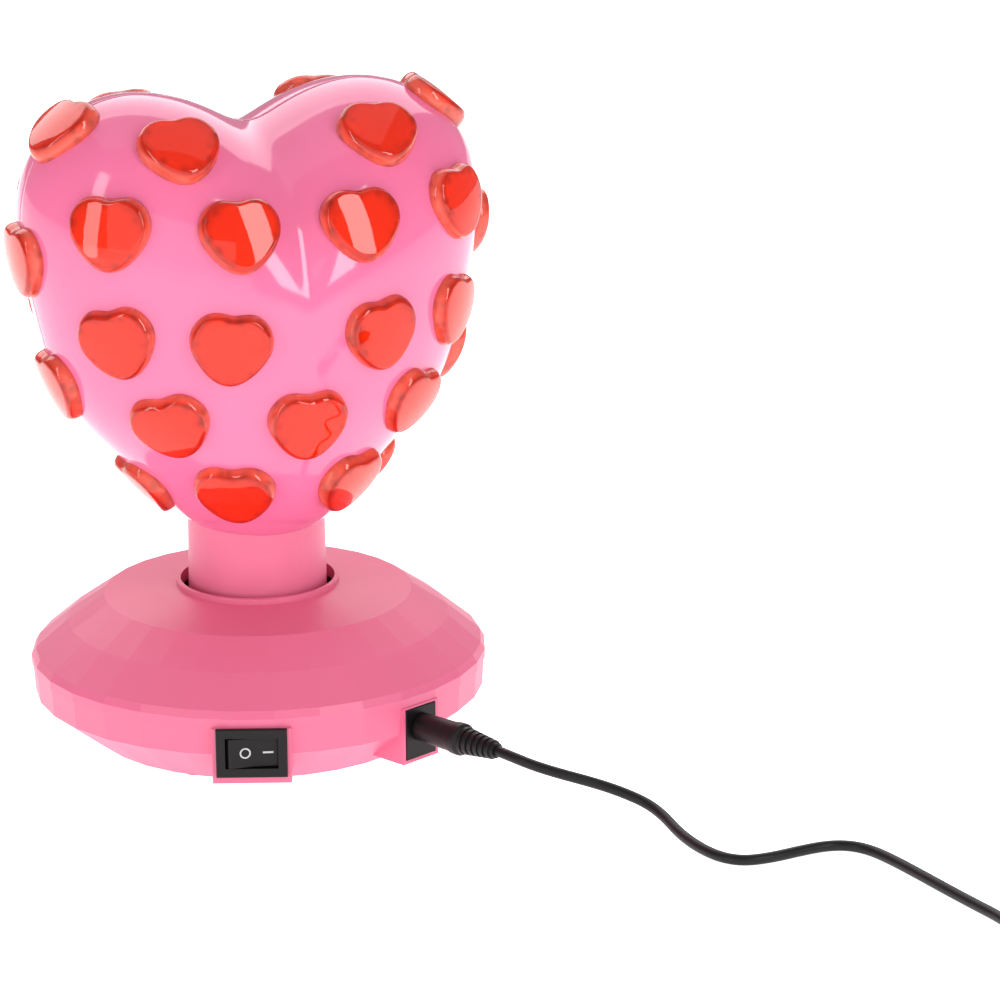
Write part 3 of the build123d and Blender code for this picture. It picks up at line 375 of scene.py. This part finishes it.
def silicone_sleeving():
    return moulded("silicone_sleeving", linear("#A81E17"), 0.5, 1.5, 0.02, drift=0.1)


def clear_epoxy():
    # LED domes: clear casting resin over a warm phosphor.
    return moulded("clear_epoxy", linear("#F3EFC6"), 0.08, 3.0, 0.004, drift=0.05, coat=1.0)


def metal(name, code, rough, grain_mm):
    """A bare or plated metal with fine drawn lines in its roughness."""
    material, tree = new_material(name)
    place = add_node(tree, "ShaderNodeTexCoord").outputs["Object"]
    lines = add_node(tree, "ShaderNodeMapping", {"Vector": place, "Scale": (1.0, 1.0, 0.08)})
    grain = add_node(tree, "ShaderNodeTexNoise", {
        "Vector": lines.outputs["Vector"], "Scale": 1000 / grain_mm, "Detail": 3.0})
    haze = add_node(tree, "ShaderNodeMapRange", {
        "Value": grain.outputs["Fac"], "To Min": rough * 0.7, "To Max": rough * 1.3})
    bump = add_node(tree, "ShaderNodeBump", {
        "Height": grain.outputs["Fac"], "Distance": 0.004 * MM, "Strength": 1.0})
    shader = add_node(tree, "ShaderNodeBsdfPrincipled", {
        "Base Color": mottled(tree, place, linear(code), 60.0, 0.06), "Metallic": 1.0,
        "Roughness": haze.outputs["Result"], "Normal": bump.outputs["Normal"]})
    return close_material(material, tree, shader)


MAKERS = {
    "pink_base": moulded_satin_abs,
    "pink_heart": moulded_gloss_abs,
    "lens_red": cast_acrylic,
    "foot_rubber": soft_rubber,
    "screw_steel": lambda: metal("zinc_plate", "#B9BBBD", 0.3, 0.4),
    "inner_plastic": natural_nylon,
    "gear_nylon": natural_nylon,
    "motor_steel": lambda: metal("drawn_steel", "#A9ACB0", 0.35, 0.5),
    "shaft_steel": lambda: metal("ground_steel", "#BCBEC2", 0.22, 0.3),
    "post_aluminium": lambda: metal("drawn_aluminium", "#D3D5D8", 0.32, 0.4),
    "board_green": solder_mask,
    "led_lens": clear_epoxy,
    "wire_red": silicone_sleeving,
    "black_plastic": satin_black_nylon,
    "terminal_brass": lambda: metal("stamped_brass", "#D9B676", 0.3, 0.4),
    "cord_black": soft_black_pvc,
    "plug_nickel": lambda: metal("nickel_plate", "#CFCBC2", 0.16, 0.5),
    "tie_black": satin_black_nylon,
    "adapter_black": spark_textured_abs,
    "ink": pad_print,
}
made = {}


def material_for(slot):
    """One material per finish, made when it is first asked for."""
    if slot not in made:
        made[slot] = MAKERS[slot]()
    return made[slot]


# ---- stage ----------------------------------------------------------------------
class HEARTLAMP_OT_stage(bpy.types.Operator):
    """Camera, lights and a plain pale floor"""
    bl_idname = "heart_lamp.stage"
    bl_label = "Stage"

    focal_length = 143.73                # on a 36 mm sensor
    standpoint = (0.0493, -1.176, 0.4193)
    heading = math.radians(1.246)        # right of +Y
    pitch = math.radians(16.48)          # downwards
    roll = math.radians(0.29)
    lights_aim = (0.0, 0.0, 0.12)
    lamps = (                            # name, place, width and height in metres, power in watts
        ("overhead", (0.0, 0.3, 1.6), (1.6, 1.2), 3.0),
        ("back_band", (-0.1, 1.0, 0.95), (2.0, 1.0), 14.0),
        ("left_strip", (-0.93, -0.92, 0.62), (0.2, 1.4), 4.4),
        ("right_strip", (0.93, -0.93, 0.8), (0.34, 1.1), 8.2),
        ("front_fill", (-0.2, -2.4, 0.7), (3.0, 1.35), 11.8),
    )
    room_light = 0.35

    def execute(self, context):
        scene = context.scene
        scene.view_settings.view_transform = "Standard"
        self.camera(scene)
        self.lights(scene)
        self.floor(scene)
        return {"FINISHED"}

    def camera(self, scene):
        data = bpy.data.cameras.new("camera")
        data.sensor_width = 36.0
        data.lens = self.focal_length
        data.clip_end = 20.0
        camera = bpy.data.objects.new("camera", data)
        scene.collection.objects.link(camera)
        turn = Matrix.Rotation(-self.heading, 4, "Z") @ Matrix.Rotation(math.pi / 2 - self.pitch, 4, "X")
        turn = turn @ Matrix.Rotation(-self.roll, 4, "Z")
        camera.matrix_world = Matrix.Translation(self.standpoint) @ turn
        scene.camera = camera

    def light(self, scene, name, place, size, power):
        data = bpy.data.lights.new(name, "AREA")
        data.shape = "RECTANGLE"
        data.size, data.size_y = size
        data.energy = power
        lamp = bpy.data.objects.new(name, data)
        scene.collection.objects.link(lamp)
        toward = Vector(self.lights_aim) - Vector(place)
        lamp.rotation_euler = toward.to_track_quat("-Z", "Y").to_euler()
        lamp.location = place

    def lights(self, scene):
        for lamp in self.lamps:
            self.light(scene, *lamp)
        world = bpy.data.worlds.new("studio")
        world.use_nodes = True
        sky = world.node_tree.nodes["Background"]
        sky.inputs["Color"].default_value = (1, 1, 1, 1)
        sky.inputs["Strength"].default_value = self.room_light
        scene.world = world

    def floor(self, scene):
        material, tree = new_material("white_paper")
        shader = add_node(tree, "ShaderNodeBsdfPrincipled", {
            "Base Color": (0.93, 0.93, 0.93, 1), "Roughness": 0.9, "Specular IOR Level": 0.1,
            "Emission Color": (1, 1, 1, 1), "Emission Strength": 0.95})
        close_material(material, tree, shader)
        bm = bmesh.new()
        bmesh.ops.create_grid(bm, x_segments=1, y_segments=1, size=6.0)
        mesh = bpy.data.meshes.new("floor")
        bm.to_mesh(mesh)
        bm.free()
        floor = bpy.data.objects.new("floor", mesh)
        scene.collection.objects.link(floor)
        mesh.materials.append(material)


# ---- head -----------------------------------------------------------------------
class HEARTLAMP_OT_heart(bpy.types.Operator):
    """The two gloss halves of the heart"""
    bl_idname = "heart_lamp.heart"
    bl_label = "Heart shells"

    steps = 72                           # faces along each edge of the cube that is blown up into the heart
    neck_opening = 19.9 * MM
    neck_top = 77.8 * MM

    def execute(self, context):
        for side, name in ((-1, "heart_front"), (1, "heart_back")):
            self.half(side, name)
        return {"FINISHED"}

    def half(self, side, name):
        bm = bmesh.new()
        bmesh.ops.create_cube(bm, size=2.0)
        bmesh.ops.subdivide_edges(bm, edges=bm.edges[:], cuts=self.steps - 1, use_grid_fill=True)
        cut = [v for v in bm.verts if v.co.y * side < -1e-6]
        bmesh.ops.delete(bm, geom=cut, context="VERTS")
        turn = Matrix.Rotation(sizes().head_turn, 4, "Z")
        for vert in bm.verts:
            # spread evenly over the cube's faces, so that the skin's faces are alike in size
            even = Vector([math.tan(c * math.pi / 4) for c in vert.co]).normalized()
            lean = math.degrees(math.acos(max(-1.0, min(1.0, -even.y))))
            bearing = math.degrees(math.atan2(even.x, even.z))
            vert.co = turn @ heart_point(lean, bearing, sizes().heart_depth)
        away = turn @ Vector((0, side, 0))
        for vert in {v for e in bm.edges if e.is_boundary for v in e.verts}:
            vert.co += away * (sizes().seam / 2)
        low = [f for f in bm.faces if f.calc_center_median().z < self.neck_top
               and f.calc_center_median().xy.length < self.neck_opening]
        bmesh.ops.delete(bm, geom=low, context="FACES")
        bmesh.ops.recalc_face_normals(bm, faces=bm.faces)
        if sum(f.normal.dot(f.calc_center_median() - AXIS_HEIGHT) for f in bm.faces) < 0:
            bmesh.ops.reverse_faces(bm, faces=bm.faces)
        piece = finish_mesh(bm, "shell_" + name, material_for("pink_heart"), "head", (name,))
        wall = piece.modifiers.new("Wall", "SOLIDIFY")
        wall.thickness = sizes().shell
        wall.offset = -1.0
        wall.use_even_offset = True


class HEARTLAMP_OT_lenses(bpy.types.Operator):
    """Red lenses set over the heart, by one geometry tree that every group shares"""
    bl_idname = "heart_lamp.lenses"
    bl_label = "Lenses"

    around = 64
    skirt = 3.0 * MM
    # inset from the outline in millimetres and height as a share of the lens, from the buried foot to the face
    edge = ((0.00, -1.00), (0.04, 0.00), (0.16, 0.19), (0.38, 0.36), (0.70, 0.51), (1.10, 0.63), (1.55, 0.72))
    face = (0.94, 0.86, 0.76, 0.64, 0.50, 0.36, 0.22, 0.10)     # shares of what is left inside the edge
    crown = 0.28                         # how much of the height the domed face takes up

    def execute(self, context):
        pattern = self.lens()
        tree = self.tree()
        for row, spots in LENS_ROWS.items():
            for side, half in ((1, "front"), (-1, "back")):
                self.group(pattern, tree, f"{half}_lenses_{row}", [spot + (side,) for spot in spots])
        for hand, name in ((-1, "side_lenses_left"), (1, "side_lenses_right")):
            self.group(pattern, tree, name, [(a, hand * b, hand * c, 1) for a, b, c in SIDE_LENSES])
        bpy.data.objects.remove(pattern)
        return {"FINISHED"}

    def lens(self):
        """One lens at the origin, its face towards +Z and its notch towards +Y."""
        bearings = [360 * k / self.around for k in range(self.around)]
        proud = sizes().lens_proud
        brim, level = self.edge[-1]
        widest = max(lens_radius(bearing) for bearing in bearings) - brim * MM

        def dome(radius):
            return level + self.crown * (1 - (radius / widest) ** 2)

        def on_edge(bearing, inset, rise):
            """Radius and height on the rounded edge, which climbs to meet the dome all the way round."""
            inner = lens_radius(bearing) - brim * MM
            z = rise * (dome(inner) / level * proud if rise >= 0 else self.skirt)
            return lens_radius(bearing) - inset * MM, z

        def on_face(bearing, share):
            radius = (lens_radius(bearing) - brim * MM) * share
            return radius, dome(radius) * proud

        profiles = [[on_edge(bearing, *step) for step in self.edge]
                    + [on_face(bearing, share) for share in self.face] for bearing in bearings]
        bm = bmesh.new()
        inwards = bm.verts.layers.float.new("inwards")
        rings = []
        for level_places in zip(*profiles):
            ring = []
            for bearing, (radius, z) in zip(bearings, level_places):
                b = math.radians(bearing)
                ring.append(bm.verts.new((radius * math.sin(b), radius * math.cos(b), z)))
                ring[-1][inwards] = 1 - radius / lens_radius(bearing)
            rings.append(ring)
        for low, high in zip(rings, rings[1:]):
            for k in range(self.around):
                n = (k + 1) % self.around
                bm.faces.new((low[k], low[n], high[n], high[k]))
        bm.faces.new(rings[-1])
        bm.faces.new(list(reversed(rings[0])))
        bmesh.ops.recalc_face_normals(bm, faces=bm.faces)
        mesh = bpy.data.meshes.new("lens_pattern")
        bm.to_mesh(mesh)
        bm.free()
        mesh.polygons.foreach_set("use_smooth", [True] * len(mesh.polygons))
        pattern = bpy.data.objects.new("lens_pattern", mesh)
        bpy.context.scene.collection.objects.link(pattern)
        return pattern

    def tree(self):
        tree = bpy.data.node_groups.new("lens_field", "GeometryNodeTree")
        face = tree.interface
        face.new_socket("Geometry", in_out="INPUT", socket_type="NodeSocketGeometry")
        face.new_socket("Lens", in_out="INPUT", socket_type="NodeSocketObject")
        face.new_socket("Size", in_out="INPUT", socket_type="NodeSocketFloat").default_value = 1.0
        face.new_socket("Finish", in_out="INPUT", socket_type="NodeSocketMaterial")
        face.new_socket("Geometry", in_out="OUTPUT", socket_type="NodeSocketGeometry")
        given = add_node(tree, "NodeGroupInput")
        facing = add_node(tree, "GeometryNodeInputNamedAttribute", {"Name": "facing"}, data_type="FLOAT_VECTOR")
        turned = add_node(tree, "FunctionNodeEulerToRotation", {"Euler": facing.outputs["Attribute"]})
        shape = add_node(tree, "GeometryNodeObjectInfo", {"Object": given.outputs["Lens"], "As Instance": True})
        copies = add_node(tree, "GeometryNodeInstanceOnPoints", {
            "Points": given.outputs["Geometry"], "Instance": shape.outputs["Geometry"],
            "Rotation": turned.outputs["Rotation"], "Scale": given.outputs["Size"]})
        real = add_node(tree, "GeometryNodeRealizeInstances", {"Geometry": copies.outputs["Instances"]})
        done = add_node(tree, "GeometryNodeSetMaterial", {
            "Geometry": real.outputs["Geometry"], "Material": given.outputs["Finish"]})
        add_node(tree, "NodeGroupOutput", {"Geometry": done.outputs["Geometry"]})
        return tree

    def spot(self, lean, bearing, roll, side):
        """Where a lens sits and how it is turned. side is 1 on the front half and -1 on the back."""
        depth = sizes().heart_depth
        here = heart_point(lean, bearing, depth)
        along = heart_point(lean + 0.05, bearing, depth) - heart_point(lean - 0.05, bearing, depth)
        across = heart_point(lean, bearing + 0.05, depth) - heart_point(lean, bearing - 0.05, depth)
        out = along.cross(across).normalized()
        if out.dot(here - AXIS_HEIGHT) < 0:
            out = -out
        here.y *= side
        out.y *= side
        level = Vector((0, 0, 1)).cross(out).normalized()
        rest = Matrix((level, out.cross(level), out)).transposed()
        turn = Matrix.Rotation(sizes().head_turn, 3, "Z")
        return turn @ here, (turn @ rest @ Matrix.Rotation(math.radians(roll * side), 3, "Z")).to_euler()

    def group(self, pattern, tree, name, spots):
        places = [self.spot(*spot) for spot in spots]
        points = bpy.data.meshes.new("spots")
        points.from_pydata([place for place, _ in places], [], [])
        facing = points.attributes.new("facing", "FLOAT_VECTOR", "POINT")
        for item, (_, turn) in zip(facing.data, places):
            item.vector = turn
        holder = bpy.data.objects.new("spots", points)
        bpy.context.scene.collection.objects.link(holder)
        field = holder.modifiers.new("Lenses", "NODES")
        field.node_group = tree
        given = {"Lens": pattern, "Size": 1.0, "Finish": material_for("lens_red")}
        for item in tree.interface.items_tree:
            if item.in_out == "INPUT" and item.name in given:
                field[item.identifier] = given[item.name]
        holder.update_tag()
        graph = bpy.context.evaluated_depsgraph_get()
        graph.update()
        mesh = bpy.data.meshes.new_from_object(holder.evaluated_get(graph), depsgraph=graph)
        bpy.data.objects.remove(holder)
        finish_piece(mesh, "set_" + name, material_for("lens_red"), "head", (name,))


# ---- base, switch, jack, inside ---------------------------------------------------
class HEARTLAMP_OT_base(bpy.types.Operator):
    """The moulded shells of the base and the neck"""
    bl_idname = "heart_lamp.base"
    bl_label = "Base"

    def execute(self, context):
        soft = sizes().softening
        for node, body, facets_from in (
                ("upper_shell", "base", 26 * MM), ("lower_shell", "base", 50 * MM), ("neck_tube", "head", None)):
            softened_copy(node, "moulded_" + node, material_for("pink_base"), body, soft, facets_from)
        return {"FINISHED"}


class HEARTLAMP_OT_switch(bpy.types.Operator):
    """Rocker switch with its marks, and the jack beside it"""
    bl_idname = "heart_lamp.switch"
    bl_label = "Switch and jack"

    pivot = Vector((0, -66.6 * MM, 15.6 * MM))
    lean = math.radians(8.0)
    ridge = 4.0 * MM
    valley = math.radians(4.0)
    above = 0.03 * MM                    # the print's height over the rocker's face
    ring_middle, ring_radius, stroke = -2.5 * MM, 1.65 * MM, 0.45 * MM
    bar_ends, bar_half = (2.7 * MM, 5.8 * MM), 0.27 * MM

    def execute(self, context):
        black = material_for("black_plastic")
        for node, body in (("switch_body", "base"), ("rocker", "rocker"), ("jack_body", "base")):
            softened_copy(node, "black_" + node, black, body, 0.25 * MM)
        self.marks()
        return {"FINISHED"}

    def on_paddle(self, across, up):
        """A point just proud of the rocker's face, across and up from its middle."""
        out = self.ridge + abs(across) * math.tan(self.valley) + self.above
        flat = Matrix.Rotation(self.lean, 3, "Z") @ Vector((across, -out, up))
        return self.pivot + flat

    def marks(self):
        bm = bmesh.new()
        count = 40
        angles = [2 * math.pi * k / count for k in range(count)]
        rings = []
        for radius in (self.ring_radius, self.ring_radius - self.stroke):
            around = [(self.ring_middle + radius * math.cos(a), radius * math.sin(a)) for a in angles]
            rings.append([bm.verts.new(self.on_paddle(*place)) for place in around])
        for k in range(count):
            n = (k + 1) % count
            bm.faces.new((rings[0][k], rings[0][n], rings[1][n], rings[1][k]))
        left, right = self.bar_ends
        low, high = -self.bar_half, self.bar_half
        bar = ((left, low), (right, low), (right, high), (left, high))
        bm.faces.new([bm.verts.new(self.on_paddle(*corner)) for corner in bar])
        bmesh.ops.recalc_face_normals(bm, faces=bm.faces)
        for face in bm.faces:
            if face.normal.y > 0:
                face.normal_flip()
        finish_mesh(bm, "rocker_marks", material_for("ink"), "rocker", smooth=False)


class HEARTLAMP_OT_lead(bpy.types.Operator):
    """The power lead, from its plug through the stored coil to the adapter"""
    bl_idname = "heart_lamp.lead"
    bl_label = "Power lead"

    coil_centre = Vector((232.0, -202.0)) * MM
    start_turn = 180.0                   # where on the coil the lead arrives, and how far round it goes
    whole_turn = 9.25 * 360
    shift = 32.0                         # how much of a turn the lead takes to move over to the next ring
    last_move = 95.0                     # where in its turn the last of those moves starts
    per_turn = 24
    floor_gap = 0.6 * MM

    def execute(self, context):
        pvc = material_for("cord_black")
        plug = softened_copy("dc_plug", "moulded_plug", pvc, "base", 0.18 * MM)
        relief = softened_copy("adapter_relief", "strain_relief", pvc, "base", 0.2 * MM)
        tie = softened_copy("coil_tie", "strap", material_for("tie_black"), "base", 0.15 * MM)
        case = softened_copy("adapter_case", "adapter_lower", material_for("adapter_black"),
                             "base", 0.3 * MM)
        lid = softened_copy("adapter_lid", "adapter_upper", material_for("adapter_black"),
                            "base", 0.3 * MM)
        cord = self.cord(pvc)
        return {"FINISHED"}

    def cell(self, turned):
        """Ring and layer of the coil after so many degrees, sliding from one turn to the next."""
        ring, layer = COIL_CELLS[0]
        for k in range(len(COIL_CELLS) - 1):
            # the last move comes first round the coil, so that each turn finds its place empty
            begin = 360.0 * k + self.last_move + self.shift * (len(COIL_CELLS) - 2 - k)
            u = min(1.0, max(0.0, (turned - begin) / self.shift))
            ease = u * u * (3 - 2 * u)
            ring += ease * (COIL_CELLS[k + 1][0] - COIL_CELLS[k][0])
            layer += ease * (COIL_CELLS[k + 1][1] - COIL_CELLS[k][1])
        return ring, layer

    def coil(self):
        points = []
        count = round(self.whole_turn / 360 * self.per_turn)
        for k in range(count + 1):
            turned = self.whole_turn * k / count
            ring, layer = self.cell(turned)
            radius = sizes().coil + (ring - 1) * sizes().cord
            angle = math.radians(self.start_turn + turned)
            spot = self.coil_centre + radius * Vector((math.cos(angle), math.sin(angle)))
            points.append((spot.x, spot.y, self.floor_gap + (layer + 0.5) * sizes().cord))
        return points

    def cord(self, material):
        route = [Vector(p) * MM for p in CORD_ROUTE] + self.coil() + [Vector(p) * MM for p in TAIL_ROUTE]
        curve = bpy.data.curves.new("power_lead", "CURVE")
        curve.dimensions = "3D"
        curve.bevel_depth = sizes().cord / 2
        curve.bevel_resolution = 4
        curve.use_fill_caps = True
        spline = curve.splines.new("NURBS")
        spline.points.add(len(route) - 1)
        for point, place in zip(spline.points, route):
            point.co = (*place, 1.0)
        spline.order_u = 3
        spline.use_endpoint_u = True
        spline.resolution_u = 6
        curve.materials.append(material)
        piece = bpy.data.objects.new("power_lead", curve)
        bpy.context.scene.collection.objects.link(piece)
        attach(piece, "base")
        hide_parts("cord_run", "cord_coil", "cord_tail")
        return piece


class HEARTLAMP_OT_inside(bpy.types.Operator):
    """Finishes for the pieces that keep their construction shape"""
    bl_idname = "heart_lamp.inside"
    bl_label = "Works"

    def execute(self, context):
        for part in frame["record"]["subparts"]:
            piece = frame["nodes"][part["node"]]
            if piece.hide_render:
                continue
            piece.data.materials.clear()
            piece.data.materials.append(material_for(part["material_slot"]))
        return {"FINISHED"}


class HEARTLAMP_PT_panel(bpy.types.Panel):
    """Sizes, colours and the steps that build the lamp"""
    bl_label = "Heart lamp"
    bl_idname = "HEARTLAMP_PT_panel"
    bl_space_type = "VIEW_3D"
    bl_region_type = "UI"
    bl_category = "Heart lamp"

    def draw(self, context):
        for group in (context.scene.heart_lamp_sizes, context.scene.heart_lamp_colours):
            for name in group.__annotations__:
                self.layout.prop(group, name)
        for step in STEPS:
            self.layout.operator(step.bl_idname)


STEPS = (
    HEARTLAMP_OT_stage, HEARTLAMP_OT_lead, HEARTLAMP_OT_heart, HEARTLAMP_OT_lenses,
    HEARTLAMP_OT_base, HEARTLAMP_OT_switch, HEARTLAMP_OT_inside,
)
CLASSES = (HeartLampSizes, HeartLampColours) + STEPS + (HEARTLAMP_PT_panel,)


def register():
    for each in CLASSES:
        bpy.utils.register_class(each)
    bpy.types.Scene.heart_lamp_sizes = bpy.props.PointerProperty(type=HeartLampSizes)
    bpy.types.Scene.heart_lamp_colours = bpy.props.PointerProperty(type=HeartLampColours)


def unregister():
    del bpy.types.Scene.heart_lamp_colours
    del bpy.types.Scene.heart_lamp_sizes
    for each in reversed(CLASSES):
        bpy.utils.unregister_class(each)


def main():
    register()
    for step in STEPS:
        getattr(bpy.ops.heart_lamp, step.bl_idname.split(".")[1])()


if __name__ == "__main__":
    main()
